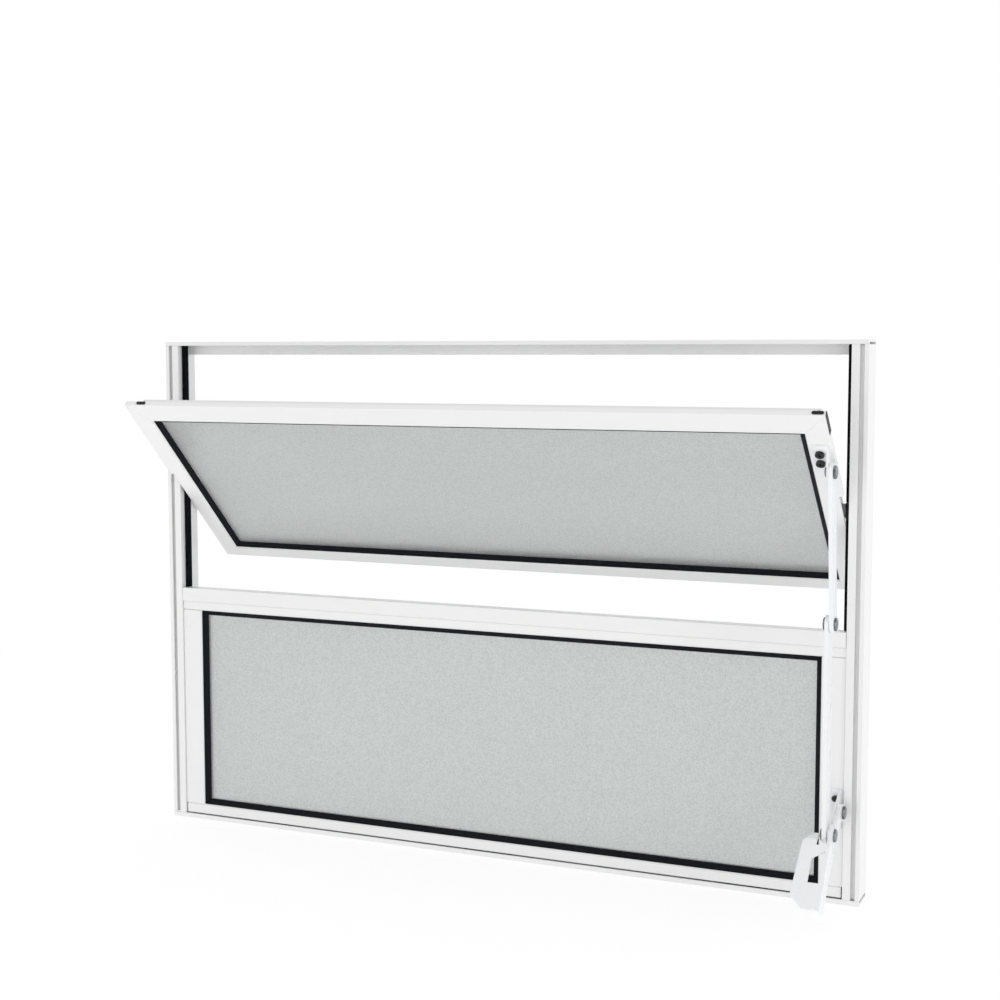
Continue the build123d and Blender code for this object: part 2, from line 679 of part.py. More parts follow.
# ================================================================ brackets, screws and rivets
def bracket(name, outer_x, width, face, rivet, above, below, ear, screws, angle=0.0):
    """Angle bracket: a base screwed to a stile and an upright ear that carries a rivet."""
    base_front = face - bracket_thickness
    with BuildPart() as angle_piece:
        block((outer_x - width, outer_x), (base_front, face), (rivet.Z - below, rivet.Z + above))
        with BuildSketch(Plane.YZ.offset(outer_x - bracket_thickness)) as outline:
            with BuildLine():
                Polyline(*ear, close=True)
            make_face()
            fillet(outline.vertices().group_by(Axis.Y)[0], ear_corner)
        extrude(amount=bracket_thickness)
        for inset, rise in screws:
            x = outer_x - inset
            z = rivet.Z + rise
            rod((x, base_front, z), (x, face, z), screw_radius + seat_gap, Mode.SUBTRACT)
        rod((outer_x - bracket_thickness, rivet.Y, rivet.Z), (outer_x, rivet.Y, rivet.Z),
            rivet_radius + seat_gap, Mode.SUBTRACT)
    keep(angle_piece, name, angle)


def face_screws(name, outer_x, face, rivet, head_radius, screws, angle=0.0):
    """Pan-head screws with a cross recess, driven through a bracket's base."""
    seat = face - bracket_thickness
    with BuildPart() as screw_set:
        for inset, rise in screws:
            x = outer_x - inset
            z = rivet.Z + rise
            rod((x, seat, z), (x, seat - screw_head_height, z), head_radius)
            rod((x, seat, z), (x, seat + screw_length, z), screw_radius)
            recess = (seat - screw_head_height, seat - screw_head_height + recess_depth)
            for across, up in ((recess_length, recess_width), (recess_width, recess_length)):
                block((x - across / 2, x + across / 2), recess, (z - up / 2, z + up / 2), Mode.SUBTRACT)
    keep(screw_set, name, angle)


def rivet(name, at, tail_face, tail_radius, shank_radius, head_face, angle=0.0):
    """Round-headed rivet along X: a tail below tail_face and a head above head_face."""
    tail = (tail_face - rivet_head_thickness, at.Y, at.Z)
    head = (head_face + rivet_head_thickness, at.Y, at.Z)
    with BuildPart() as pin:
        rod(tail, (tail_face, at.Y, at.Z), tail_radius)
        rod((tail_face, at.Y, at.Z), (head_face, at.Y, at.Z), shank_radius)
        rod((head_face, at.Y, at.Z), head, rivet_head_radius)
        rims = pin.edges().filter_by(GeomType.CIRCLE).sort_by(Axis.X)
        fillet([rims[0], rims[-1]], rivet_head_thickness * rivet_dome)
    keep(pin, name, angle)


sash_base = sash_front - bracket_thickness
sash_ear_front = closed_top_pin.Y - sash_ear_margin
sash_ear = [
    (sash_base, closed_top_pin.Z + sash_ear_rise + ear_corner),
    (sash_front - sash_ear_start, closed_top_pin.Z + sash_ear_rise),
    (sash_ear_front, closed_top_pin.Z),
    (sash_ear_front, closed_top_pin.Z - sash_ear_margin),
    (sash_base, closed_top_pin.Z - sash_bracket_below),
]
bracket("sash_bracket", link_plane, sash_bracket_width, sash_front, closed_top_pin,
        sash_bracket_above, sash_bracket_below, sash_ear, sash_screws, open_angle)
face_screws("sash_bracket_screws", link_plane, sash_front, closed_top_pin,
            sash_screw_head_radius, sash_screws, open_angle)

lever_bracket_x = lever_plane - running_gap
lever_base = fixed_front - bracket_thickness
lever_ear_front = lever_pivot.Y - lever_ear_margin
lever_ear = [
    (lever_base, lever_pivot.Z + lever_bracket_above),
    (fixed_front - lever_ear_start, lever_pivot.Z + lever_ear_rise),
    (lever_ear_front, lever_pivot.Z + lever_ear_shoulder),
    (lever_ear_front, lever_pivot.Z - ear_corner),
    (lever_base, lever_pivot.Z - lever_bracket_below),
]
bracket("lever_bracket", lever_bracket_x, lever_bracket_width, fixed_front, lever_pivot,
        lever_bracket_above, lever_bracket_below, lever_ear, lever_screws)
face_screws("lever_bracket_screws", lever_bracket_x, fixed_front, lever_pivot,
            small_screw_head_radius, lever_screws)

# ================================================================ link bars
lower_bar_face = link_plane - bar_thickness
upper_bar_face = link_plane + running_gap
upper_bar_outer = upper_bar_face + bar_thickness


def link_bar(name, inner_x, low, low_hole, high, high_hole):
    """Flat bar with round ends between two rivets."""
    along = high - low
    plane = Plane(Vector(inner_x, 0, 0) + (low + high) / 2, x_dir=along, z_dir=(1, 0, 0))
    with BuildPart() as bar:
        with BuildSketch(plane):
            SlotCenterToCenter(along.length, bar_width)
            with Locations((-along.length / 2, 0)):
                Circle(low_hole, mode=Mode.SUBTRACT)
            with Locations((along.length / 2, 0)):
                Circle(high_hole, mode=Mode.SUBTRACT)
        extrude(amount=bar_thickness)
    keep(bar, name)


rivet_hole = rivet_radius + pin_gap
link_bar("lower_bar", lower_bar_face, crank_pin, rivet_hole, middle_pin, loose_hole_radius)
link_bar("upper_bar", upper_bar_face, middle_pin, loose_rivet_radius + pin_gap, top_pin, rivet_hole)

lever_outer = lever_plane + lever_thickness
rivet("bar_rivet", middle_pin, lower_bar_face - running_gap, rivet_head_radius,
      loose_rivet_radius, upper_bar_outer)
rivet("sash_bracket_rivet", closed_top_pin, link_plane - bracket_thickness, rivet_tail_radius, rivet_radius,
      upper_bar_outer + running_gap, open_angle)
rivet("crank_rivet", crank_pin, lower_bar_face - running_gap, rivet_head_radius, rivet_radius, lever_outer)
rivet("lever_pivot_rivet", lever_pivot, lever_bracket_x - bracket_thickness, rivet_tail_radius, rivet_radius,
      lever_outer + running_gap)

with BuildPart() as crank_spacer:
    ends = [(x, crank_pin.Y, crank_pin.Z) for x in (link_plane + running_gap, lever_plane)]
    rod(*ends, spacer_radius)
    rod(*ends, rivet_radius + seat_gap, Mode.SUBTRACT)
keep(crank_spacer, "crank_spacer")

# ================================================================ lever
grip_edge = lever_outer - grip_width


def lever_sketch_plane(x):
    """Plane across the lever at this X: local x runs forwards and local y up, from its pivot."""
    return Plane((x, lever_pivot.Y, lever_pivot.Z), x_dir=(0, -1, 0), z_dir=(-1, 0, 0))


with BuildPart() as lever:
    # side plate: boss, arm and the rear edge of the grip
    with BuildSketch(lever_sketch_plane(lever_outer)):
        Circle(lever_boss_radius)
        with BuildLine():
            Polyline((0, 0), lever_top, lever_bend, lever_tip, *lever_heel, (0, 0))
        make_face()
        Circle(rivet_hole, mode=Mode.SUBTRACT)
    extrude(amount=lever_thickness)
    # the sheet's thickness along the front edge
    with BuildSketch(lever_sketch_plane(lever_outer)):
        with BuildLine():
            FilletPolyline(lever_top, lever_bend, lever_tip, radius=lever_bend_radius)
        trace(line_width=lever_thickness)
    extrude(amount=lever_thickness)
    # the grip: full width below, and a narrow tab with a curled end beside the bars
    with BuildSketch(lever_sketch_plane(lever_outer)):
        with BuildLine():
            Line(grip_start, lever_tip)
        trace(line_width=lever_thickness)
    extrude(amount=grip_width)
    with BuildSketch(lever_sketch_plane(grip_edge + grip_tab_width)):
        with BuildLine():
            FilletPolyline(grip_tab_end, grip_tab_top, lever_tip, radius=grip_tab_radius)
        trace(line_width=lever_thickness)
    extrude(amount=grip_tab_width)
    # cuts through the grip, drawn on its face: local y runs up along it, from where it starts
    downwards = Vector(0, grip_start[0] - lever_tip[0], lever_tip[1] - grip_start[1]).normalized()
    face_normal = Vector(1, 0, 0).cross(-downwards)
    grip_origin = Vector(0, lever_pivot.Y - grip_start[0], lever_pivot.Z + grip_start[1])
    grip_length = hypot(lever_tip[0] - grip_start[0], lever_tip[1] - grip_start[1])
    with BuildSketch(Plane(grip_origin, x_dir=(1, 0, 0), z_dir=face_normal)):
        with BuildLine():
            Polyline(
                (lever_plane, -window_top),
                (lever_plane - window_width, -window_top - window_slant),
                (lever_plane - window_width, -window_bottom),
                (lever_plane, -window_bottom),
                close=True,
            )
        make_face()
        with BuildLine():
            Polyline(
                (grip_edge, -grip_length + corner_cut),
                (grip_edge + grip_taper, grip_corner_low),
                (grip_edge + grip_taper + grip_corner_across, grip_corner_high),
                (grip_edge + grip_taper + grip_corner_across, grip_length),
                (grip_edge - grip_taper, grip_length),
                (grip_edge - grip_taper, -grip_length - lever_thickness),
                (grip_edge + corner_cut, -grip_length - lever_thickness),
                (grip_edge + corner_cut, -grip_length),
                close=True,
            )
        make_face()
    extrude(amount=4 * lever_thickness, both=True, mode=Mode.SUBTRACT)
    rod((lever_plane, crank_pin.Y, crank_pin.Z), (lever_outer, crank_pin.Y, crank_pin.Z),
        rivet_radius + seat_gap, Mode.SUBTRACT)
keep(lever, "lever")
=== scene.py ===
"""Looks of a small pivot window with an obscured fixed light and a crank lever.

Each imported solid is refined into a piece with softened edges, dressed in the finish of its material
slot and carried by its own body, so that every piece follows the sash, the bars and the lever.
"""

import json
import logging
import math
from dataclasses import dataclass
from enum import Enum
from types import MappingProxyType
from typing import Any, Mapping, Optional, Sequence, Union

import bmesh
import bpy
from mathutils import Matrix, Vector

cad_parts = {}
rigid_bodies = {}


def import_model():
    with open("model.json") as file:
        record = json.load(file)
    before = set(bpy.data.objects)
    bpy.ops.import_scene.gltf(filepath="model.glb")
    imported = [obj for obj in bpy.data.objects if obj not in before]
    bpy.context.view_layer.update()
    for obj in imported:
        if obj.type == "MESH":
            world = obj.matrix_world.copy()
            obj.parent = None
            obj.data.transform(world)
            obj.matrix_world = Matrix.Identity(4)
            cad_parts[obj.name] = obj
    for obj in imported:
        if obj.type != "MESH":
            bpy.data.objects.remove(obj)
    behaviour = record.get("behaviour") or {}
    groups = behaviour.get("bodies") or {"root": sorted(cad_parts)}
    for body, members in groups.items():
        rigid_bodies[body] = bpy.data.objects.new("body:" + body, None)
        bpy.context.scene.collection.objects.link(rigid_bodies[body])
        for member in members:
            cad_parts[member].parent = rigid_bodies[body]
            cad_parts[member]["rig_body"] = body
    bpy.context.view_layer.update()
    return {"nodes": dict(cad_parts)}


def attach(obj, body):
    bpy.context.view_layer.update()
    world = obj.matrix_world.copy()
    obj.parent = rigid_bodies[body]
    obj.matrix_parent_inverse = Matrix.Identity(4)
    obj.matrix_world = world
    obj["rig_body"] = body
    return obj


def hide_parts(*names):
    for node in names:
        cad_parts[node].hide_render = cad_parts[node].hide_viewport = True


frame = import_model()
LOG = logging.getLogger("pivot_window")

MM = 0.001
Colour = tuple[float, float, float]
Span = tuple[float, float]
Axes = tuple[float, float, float]
Value = Union["Signal", float, int, Sequence[float]]

WHITE: Colour = (1.0, 1.0, 1.0)
WHOLE: Span = (0.0, 1.0)
NOISE_CORE: Span = (0.3, 0.7)  # holds most of a cloudy noise's values
NOISE_TOP: Span = (0.4, 0.7)  # holds its brighter half
NONE_GIVEN: Mapping[Any, Any] = MappingProxyType({})


# ------------------------------------------------------------------ shader workbench
@dataclass(frozen=True)
class Signal:
    """An output socket of a shader node that takes part in arithmetic."""

    bench: "Bench"
    socket: Optional[bpy.types.NodeSocket]

    def maths(self, operation: str, first: Value, second: Value) -> "Signal":
        """Math node on two values.

        Args:
            operation: Name of the Math node's operation.
            first: Its first operand.
            second: Its second operand.

        Returns:
            The node's result.
        """
        return self.bench.node("ShaderNodeMath", {"operation": operation}, {0: first, 1: second})

    def __add__(self, other: Value) -> "Signal":
        """Sum."""
        return self.maths("ADD", self, other)

    def __radd__(self, other: Value) -> "Signal":
        """Sum with a number on the left."""
        return self.maths("ADD", other, self)

    def __sub__(self, other: Value) -> "Signal":
        """Difference."""
        return self.maths("SUBTRACT", self, other)

    def __rsub__(self, other: Value) -> "Signal":
        """Difference from a number on the left."""
        return self.maths("SUBTRACT", other, self)

    def __mul__(self, other: Value) -> "Signal":
        """Product."""
        return self.maths("MULTIPLY", self, other)

    def __rmul__(self, other: Value) -> "Signal":
        """Product with a number on the left."""
        return self.maths("MULTIPLY", other, self)

    def or_more(self, other: "Signal") -> "Signal":
        """The greater of this and another signal."""
        return self.maths("MAXIMUM", self, other)


class Bench:
    """A material or a world whose nodes are being laid out."""

    MIX_SHARE, MIX_FIRST, MIX_SECOND = 0, 6, 7  # colour sockets of the Mix node
    MIX_RESULT = 2
    CELL_SMOOTHNESS = 0.6

    def __init__(self, tree: bpy.types.NodeTree) -> None:
        """Clears the tree.

        Args:
            tree: The node tree of the material or world.
        """
        self.tree = tree
        tree.nodes.clear()

    def node(
        self,
        kind: str,
        settings: Mapping[str, Any] = NONE_GIVEN,
        inputs: Mapping[Union[str, int], Value] = NONE_GIVEN,
        output: Union[str, int] = 0,
    ) -> Signal:
        """Adds one node.

        Args:
            kind: The node's type.
            settings: Its properties, set first.
            inputs: Values or links for its sockets, by name or by place.
            output: The output socket to hand back.

        Returns:
            That output, ready for arithmetic.
        """
        made = self.tree.nodes.new(kind)
        for name, setting in settings.items():
            setattr(made, name, setting)
        for name, value in inputs.items():
            socket = made.inputs[name]
            if isinstance(value, Signal):
                self.tree.links.new(value.socket, socket)
            elif isinstance(value, (int, float)):
                socket.default_value = value
            else:
                wanted = len(socket.default_value)
                socket.default_value = (*value, 1.0)[:wanted]
        return Signal(self, made.outputs[output] if len(made.outputs) else None)

    def place(self) -> Signal:
        """Position on the piece in metres, which moves with the piece."""
        return self.node("ShaderNodeTexCoord", output="Object")

    def stretched(self, place: Signal, factors: Axes) -> Signal:
        """Place multiplied axis by axis, which draws a pattern out along an axis."""
        return self.node("ShaderNodeVectorMath", {"operation": "MULTIPLY"}, {0: place, 1: factors})

    def grain(self, place: Signal, size: float, detail: float) -> Signal:
        """Cloudy noise from 0 to 1.

        Args:
            place: Position to read it at.
            size: Size of its largest clouds, in metres.
            detail: How many finer layers it has.

        Returns:
            The noise.
        """
        inputs = {"Vector": place, "Scale": 1 / size, "Detail": detail}
        return self.node("ShaderNodeTexNoise", inputs=inputs)

    def pebbles(self, place: Signal, size: float) -> Signal:
        """Smooth rounded cells, 0 at each middle and about 1 at the seams."""
        inputs = {"Vector": place, "Scale": 1 / size, "Smoothness": self.CELL_SMOOTHNESS}
        return self.node("ShaderNodeTexVoronoi", {"feature": "SMOOTH_F1"}, inputs)

    def between(self, signal: Signal, given: Span, wanted: Span) -> Signal:
        """Takes a signal's range onto another range and holds it inside that.

        Args:
            signal: The signal.
            given: Low and high value that it comes with.
            wanted: What those two values turn into.

        Returns:
            The signal on its new range.
        """
        inputs = {"Value": signal, "From Min": given[0], "From Max": given[1],
                  "To Min": wanted[0], "To Max": wanted[1]}
        return self.node("ShaderNodeMapRange", {"clamp": True}, inputs)

    def mixed(self, share: Signal, first: Colour, second: Colour) -> Signal:
        """Colour that goes from the first to the second as share goes from 0 to 1."""
        inputs = {self.MIX_SHARE: share, self.MIX_FIRST: first, self.MIX_SECOND: second}
        return self.node("ShaderNodeMix", {"data_type": "RGBA"}, inputs, self.MIX_RESULT)

    def blend(self, share: float, first: Signal, second: Signal) -> Signal:
        """Two signals added, the first with its share and the second with the rest."""
        return first * share + second * (1 - share)

    def relief(self, height: Signal, depth: float, under: Optional[Signal] = None) -> Signal:
        """Normal of a surface raised by a height signal.

        Args:
            height: The signal, from 0 to 1.
            depth: Real height of its full range, in metres.
            under: Normal of a coarser relief below it.

        Returns:
            The normal.
        """
        inputs = {"Height": height, "Distance": depth}
        if under is not None:
            inputs["Normal"] = under
        return self.node("ShaderNodeBump", inputs=inputs)

    def emission(self, strength: float) -> Signal:
        """White glow."""
        return self.node("ShaderNodeEmission", inputs={"Color": WHITE, "Strength": strength})

    def surface(self, sockets: Mapping[str, Value]) -> None:
        """Principled shader on the material's output."""
        shader = self.node("ShaderNodeBsdfPrincipled", inputs=sockets)
        self.node("ShaderNodeOutputMaterial", inputs={"Surface": shader})


# ------------------------------------------------------------------ finishes
def new_material(name: str) -> tuple[bpy.types.Material, Bench]:
    """Empty material.

    Args:
        name: Its name.

    Returns:
        The material and the bench to lay out its nodes.
    """
    material = bpy.data.materials.new(name)
    material.use_nodes = True
    return material, Bench(material.node_tree)


@dataclass(frozen=True)
class PowderCoat:
    """Glossy white powder coat on extruded or pressed metal, with orange peel and a little dust."""

    name: str
    colour: Colour = (0.868, 0.868, 0.866)
    dulled: Colour = (0.838, 0.838, 0.832)
    roughness: Span = (0.275, 0.325)
    peel_size: float = 1.3 * MM
    peel_height: float = 0.006 * MM
    speck_size: float = 0.22 * MM
    speck_height: float = 0.001 * MM
    cloud_size: float = 70 * MM
    wipe_size: float = 9 * MM
    wipe_draw: Axes = (1.0, 1.0, 0.25)
    dust_share: float = 0.8
    dust_seen: Span = (0.30, 0.90)
    dust_amount: Span = (0.0, 0.5)
    lacquer: float = 0.25
    lacquer_roughness: float = 0.12
    index: float = 1.5

    def make(self) -> bpy.types.Material:
        """Lays out the finish.

        Returns:
            Its material.
        """
        material, bench = new_material(self.name)
        place = bench.place()
        clouds = bench.grain(place, self.cloud_size, detail=5)
        wipes = bench.grain(bench.stretched(place, self.wipe_draw), self.wipe_size, detail=3)
        peel = bench.grain(place, self.peel_size, detail=2)
        specks = bench.grain(place, self.speck_size, detail=1)
        settled = bench.blend(self.dust_share, clouds, wipes)
        dust = bench.between(settled, self.dust_seen, self.dust_amount)
        coarse = bench.relief(peel, self.peel_height)
        bench.surface({
            "Base Color": bench.mixed(dust, self.colour, self.dulled),
            "Roughness": bench.between(wipes, NOISE_CORE, self.roughness),
            "Normal": bench.relief(specks, self.speck_height, coarse),
            "Coat Weight": self.lacquer,
            "Coat Roughness": self.lacquer_roughness,
            "IOR": self.index,
        })
        return material


@dataclass(frozen=True)
class ObscuredGlass:
    """Pale float glass with a fine pebbled face that blurs what is behind it."""

    name: str
    tint: Colour = (0.780, 0.807, 0.800)
    milk: Colour = (0.602, 0.629, 0.622)
    roughness: Span = (0.33, 0.45)
    pebble_size: float = 1.15 * MM
    pebble_depth: float = 0.05 * MM
    frost_size: float = 0.7 * MM
    frost_depth: float = 0.00625 * MM
    drift_size: float = 130 * MM
    warp_size: float = 5 * MM
    pebble_share: float = 0.85
    pebble_seen: Span = (0.15, 0.75)
    shade_share: float = 0.85
    shade_seen: Span = (0.2, 0.8)
    clearness: float = 0.66
    index: float = 1.46

    def make(self) -> bpy.types.Material:
        """Lays out the finish.

        Returns:
            Its material.
        """
        material, bench = new_material(self.name)
        place = bench.place()
        drift = bench.grain(place, self.drift_size, detail=3)
        warp = bench.grain(place, self.warp_size, detail=2)
        frost = bench.grain(place, self.frost_size, detail=2)
        cells = bench.pebbles(place, self.pebble_size)
        shade = bench.between(bench.blend(self.pebble_share, cells, warp), self.pebble_seen, WHOLE)
        cloudy = bench.between(bench.blend(self.shade_share, shade, drift), self.shade_seen, WHOLE)
        coarse = bench.relief(cells, self.pebble_depth)
        bench.surface({
            "Base Color": bench.mixed(cloudy, self.tint, self.milk),
            "Roughness": bench.between(frost, NOISE_CORE, self.roughness),
            "Normal": bench.relief(frost, self.frost_depth, coarse),
            "IOR": self.index,
            "Transmission Weight": self.clearness,
        })
        return material


@dataclass(frozen=True)
class Rubber:
    """Black EPDM gasket: matt, faintly streaked along its length and dusted."""

    name: str
    colour: Colour = (0.003, 0.004, 0.006)
    bloom: Colour = (0.008, 0.010, 0.014)
    roughness: Span = (0.50, 0.70)
    streak_size: float = 1.6 * MM
    streak_draw: Axes = (0.12, 1.0, 1.0)
    streak_depth: float = 0.03 * MM
    pore_size: float = 0.35 * MM
    pore_depth: float = 0.02 * MM
    cloud_size: float = 24 * MM
    cloud_share: float = 0.5
    bloom_amount: Span = (0.0, 0.8)
    sheen_level: float = 0.12

    def make(self) -> bpy.types.Material:
        """Lays out the finish.

        Returns:
            Its material.
        """
        material, bench = new_material(self.name)
        place = bench.place()
        streaks = bench.grain(bench.stretched(place, self.streak_draw), self.streak_size, detail=3)
        pores = bench.grain(place, self.pore_size, detail=2)
        clouds = bench.grain(place, self.cloud_size, detail=4)
        settled = bench.blend(self.cloud_share, clouds, streaks)
        bloom = bench.between(settled, NOISE_TOP, self.bloom_amount)
        coarse = bench.relief(streaks, self.streak_depth)
        bench.surface({
            "Base Color": bench.mixed(bloom, self.colour, self.bloom),
            "Roughness": bench.between(clouds, NOISE_CORE, self.roughness),
            "Normal": bench.relief(pores, self.pore_depth, coarse),
            "Specular IOR Level": self.sheen_level,
        })
        return material


@dataclass(frozen=True)
class BrushPile:
    """Black pile of a draught brush: short fibres that stand out from the jamb."""

    name: str
    colour: Colour = (0.002, 0.002, 0.003)
    tips: Colour = (0.014, 0.014, 0.016)
    roughness: Span = (0.82, 0.95)
    fibre_size: float = 0.45 * MM
    fibre_draw: Axes = (0.10, 1.0, 1.0)
    fibre_depth: float = 0.16 * MM
    tuft_size: float = 2.6 * MM
    tuft_draw: Axes = (0.5, 1.0, 1.0)
    tuft_depth: float = 0.25 * MM
    fibre_share: float = 0.65
    tips_seen: Span = (0.4, 0.72)
    sheen_level: float = 0.05

    def make(self) -> bpy.types.Material:
        """Lays out the finish.

        Returns:
            Its material.
        """
        material, bench = new_material(self.name)
        place = bench.place()
        fibres = bench.grain(bench.stretched(place, self.fibre_draw), self.fibre_size, detail=3)
        tufts = bench.grain(bench.stretched(place, self.tuft_draw), self.tuft_size, detail=2)
        tips = bench.between(bench.blend(self.fibre_share, fibres, tufts), self.tips_seen, WHOLE)
        coarse = bench.relief(tufts, self.tuft_depth)
        bench.surface({
            "Base Color": bench.mixed(tips, self.colour, self.tips),
            "Roughness": bench.between(tufts, NOISE_CORE, self.roughness),
            "Normal": bench.relief(fibres, self.fibre_depth, coarse),
            "Specular IOR Level": self.sheen_level,
        })
        return material


@dataclass(frozen=True)
class BareMetal:
    """Bare or plated metal with its drawing marks, rubbed spots and a dull film."""

    name: str
    colour: Colour
    film: Colour
    roughness: Span
    mark_size: float = 0.4 * MM
    mark_draw: Axes = (0.2, 1.0, 1.0)
    mark_depth: float = 0.008 * MM
    patch_size: float = 2.4 * MM
    film_amount: Span = (0.0, 0.8)
    patch_share: float = 0.5
    gloss_seen: Span = (0.35, 0.65)
    metalness: float = 1.0

    def make(self) -> bpy.types.Material:
        """Lays out the finish.

        Returns:
            Its material.
        """
        material, bench = new_material(self.name)
        place = bench.place()
        marks = bench.grain(bench.stretched(place, self.mark_draw), self.mark_size, detail=3)
        patches = bench.grain(place, self.patch_size, detail=4)
        rubbed = bench.blend(self.patch_share, patches, marks)
        dull = bench.between(patches, NOISE_TOP, self.film_amount)
        bench.surface({
            "Base Color": bench.mixed(dull, self.colour, self.film),
            "Roughness": bench.between(rubbed, self.gloss_seen, self.roughness),
            "Normal": bench.relief(marks, self.mark_depth),
            "Metallic": self.metalness,
        })
        return material


@dataclass(frozen=True)
class MouldedPlastic:
    """Moulded nylon or plastic with a fine spark-eroded grain."""

    name: str
    colour: Colour
    worn: Colour
    roughness: Span = (0.42, 0.56)
    sheen_level: float = 0.5
    grain_size: float = 0.3 * MM
    grain_depth: float = 0.015 * MM
    cloud_size: float = 6 * MM
    wear_amount: Span = (0.0, 0.6)

    def make(self) -> bpy.types.Material:
        """Lays out the finish.

        Returns:
            Its material.
        """
        material, bench = new_material(self.name)
        place = bench.place()
        grain = bench.grain(place, self.grain_size, detail=2)
        clouds = bench.grain(place, self.cloud_size, detail=4)
        wear = bench.between(clouds, NOISE_TOP, self.wear_amount)
        bench.surface({
            "Base Color": bench.mixed(wear, self.colour, self.worn),
            "Roughness": bench.between(clouds, NOISE_CORE, self.roughness),
            "Normal": bench.relief(grain, self.grain_depth),
            "Specular IOR Level": self.sheen_level,
        })
        return material


class Finish(Enum):
    """Material slots of the record, each with what it is made of."""

    WHITE_ALUMINIUM = PowderCoat("white_aluminium")
    WHITE_STEEL = PowderCoat(
        "white_steel", (0.885, 0.900, 0.918), (0.84, 0.855, 0.872), (0.255, 0.305),
        peel_size=1.8 * MM,
    )
    RAW_ALUMINIUM = BareMetal("raw_aluminium", (0.58, 0.59, 0.61), (0.44, 0.45, 0.46), (0.34, 0.56))
    RIVET_STEEL = BareMetal("rivet_steel", (0.26, 0.26, 0.27), (0.03, 0.03, 0.035), (0.10, 0.32))
    ZINC_STEEL = BareMetal("zinc_steel", (0.62, 0.63, 0.64), (0.46, 0.47, 0.49), (0.22, 0.44))
    DARK_SCREW = BareMetal("dark_screw", (0.07, 0.072, 0.08), (0.012, 0.012, 0.016), (0.12, 0.34))
    TEXTURED_GLASS = ObscuredGlass("textured_glass")
    BLACK_GASKET = Rubber("black_gasket")
    BLACK_STRIP = BrushPile("black_strip")
    GREY_NYLON = MouldedPlastic("grey_nylon", (0.19, 0.195, 0.20), (0.26, 0.265, 0.27))
    BLACK_PLASTIC = MouldedPlastic(
        "black_plastic", (0.006, 0.006, 0.010), (0.016, 0.016, 0.020), (0.34, 0.48),
        sheen_level=0.22,
    )

    @classmethod
    def of_slot(cls, slot: str) -> "Finish":
        """Finish of a material slot of the record."""
        return cls[slot.upper()]

    def material(self) -> bpy.types.Material:
        """The finish's material, laid out the first time it is asked for.

        Returns:
            The material, under a name that no packed material has.
        """
        name = f"finish_{self.value.name}"
        material = bpy.data.materials.get(name)
        if material is None:
            material = self.value.make()
            material.name = name
        return material


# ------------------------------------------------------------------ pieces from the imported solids
MERGE_DISTANCE = 0.002 * MM
FLAT_ANGLE = math.radians(0.4)
CREASE_ANGLE = math.radians(32)
CIRCULAR_PROFILE = 0.5
LARGE_FACE_WEIGHT = 100


@dataclass(frozen=True)
class Softening:
    """How far a kind of piece's sharp edges are rounded."""

    radius: float
    shortest: float
    steps: int = 2
    angle: float = math.radians(28)


EXTRUSION = Softening(0.28 * MM, shortest=2.5 * MM)
PRESSED = Softening(0.30 * MM, shortest=1.0 * MM)
RUBBER = Softening(0.7 * MM, shortest=3.0 * MM, steps=3)
PILE = Softening(0.9 * MM, shortest=3.0 * MM, steps=3)
MOULDED = Softening(0.25 * MM, shortest=1.0 * MM)
TURNED = Softening(0.12 * MM, shortest=0.05 * MM)
GROUND_GLASS = Softening(0.35 * MM, shortest=4.0 * MM)


def refined(node: str, softening: Softening) -> bmesh.types.BMesh:
    """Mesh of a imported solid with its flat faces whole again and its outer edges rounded.

    Args:
        node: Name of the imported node.
        softening: How its edges are rounded.

    Returns:
        The mesh, to be freed by the caller.
    """
    solid = bmesh.new()
    solid.from_mesh(frame["nodes"][node].data)
    bmesh.ops.remove_doubles(solid, verts=solid.verts, dist=MERGE_DISTANCE)
    bmesh.ops.dissolve_limit(solid, angle_limit=FLAT_ANGLE, verts=solid.verts, edges=solid.edges)
    outer = [
        edge
        for edge in solid.edges
        if edge.is_manifold and edge.is_convex
        and edge.calc_length() > softening.shortest
        and edge.calc_face_angle(0.0) > softening.angle
    ]
    if outer:
        bmesh.ops.bevel(
            solid, geom=outer, affect="EDGES", offset=softening.radius, offset_type="OFFSET",
            segments=softening.steps, profile=CIRCULAR_PROFILE, clamp_overlap=True,
        )
    return solid


def to_piece(solid: bmesh.types.BMesh, name: str, finish: Finish) -> bpy.types.Object:
    """Object made of a mesh, smooth except at its creases.

    Args:
        solid: The mesh, which is freed.
        name: Name of the piece.
        finish: What it is made of.

    Returns:
        The object, linked to the scene.
    """
    mesh = bpy.data.meshes.new(name)
    for face in solid.faces:
        face.smooth = True
        face.material_index = 0
    for edge in solid.edges:
        edge.smooth = edge.is_manifold and edge.calc_face_angle(0.0) < CREASE_ANGLE
    solid.to_mesh(mesh)
    solid.free()
    for attribute in [a for a in mesh.attributes if a.name == "custom_normal"]:
        mesh.attributes.remove(attribute)
    piece = bpy.data.objects.new(name, mesh)
    bpy.context.scene.collection.objects.link(piece)
    mesh.materials.append(finish.material())
    weighted = piece.modifiers.new("even_faces", "WEIGHTED_NORMAL")
    weighted.keep_sharp = True
    weighted.weight = LARGE_FACE_WEIGHT
    return piece


def settle(piece: bpy.types.Object, slot: str, *nodes: str) -> bpy.types.Object:
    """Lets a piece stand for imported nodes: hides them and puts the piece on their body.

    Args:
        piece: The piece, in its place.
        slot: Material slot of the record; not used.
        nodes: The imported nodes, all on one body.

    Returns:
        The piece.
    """
    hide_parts(*nodes)
    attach(piece, frame["nodes"][nodes[0]]["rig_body"])
    LOG.info("%s: %d faces for %s", piece.name, len(piece.data.polygons), ", ".join(nodes))
    return piece


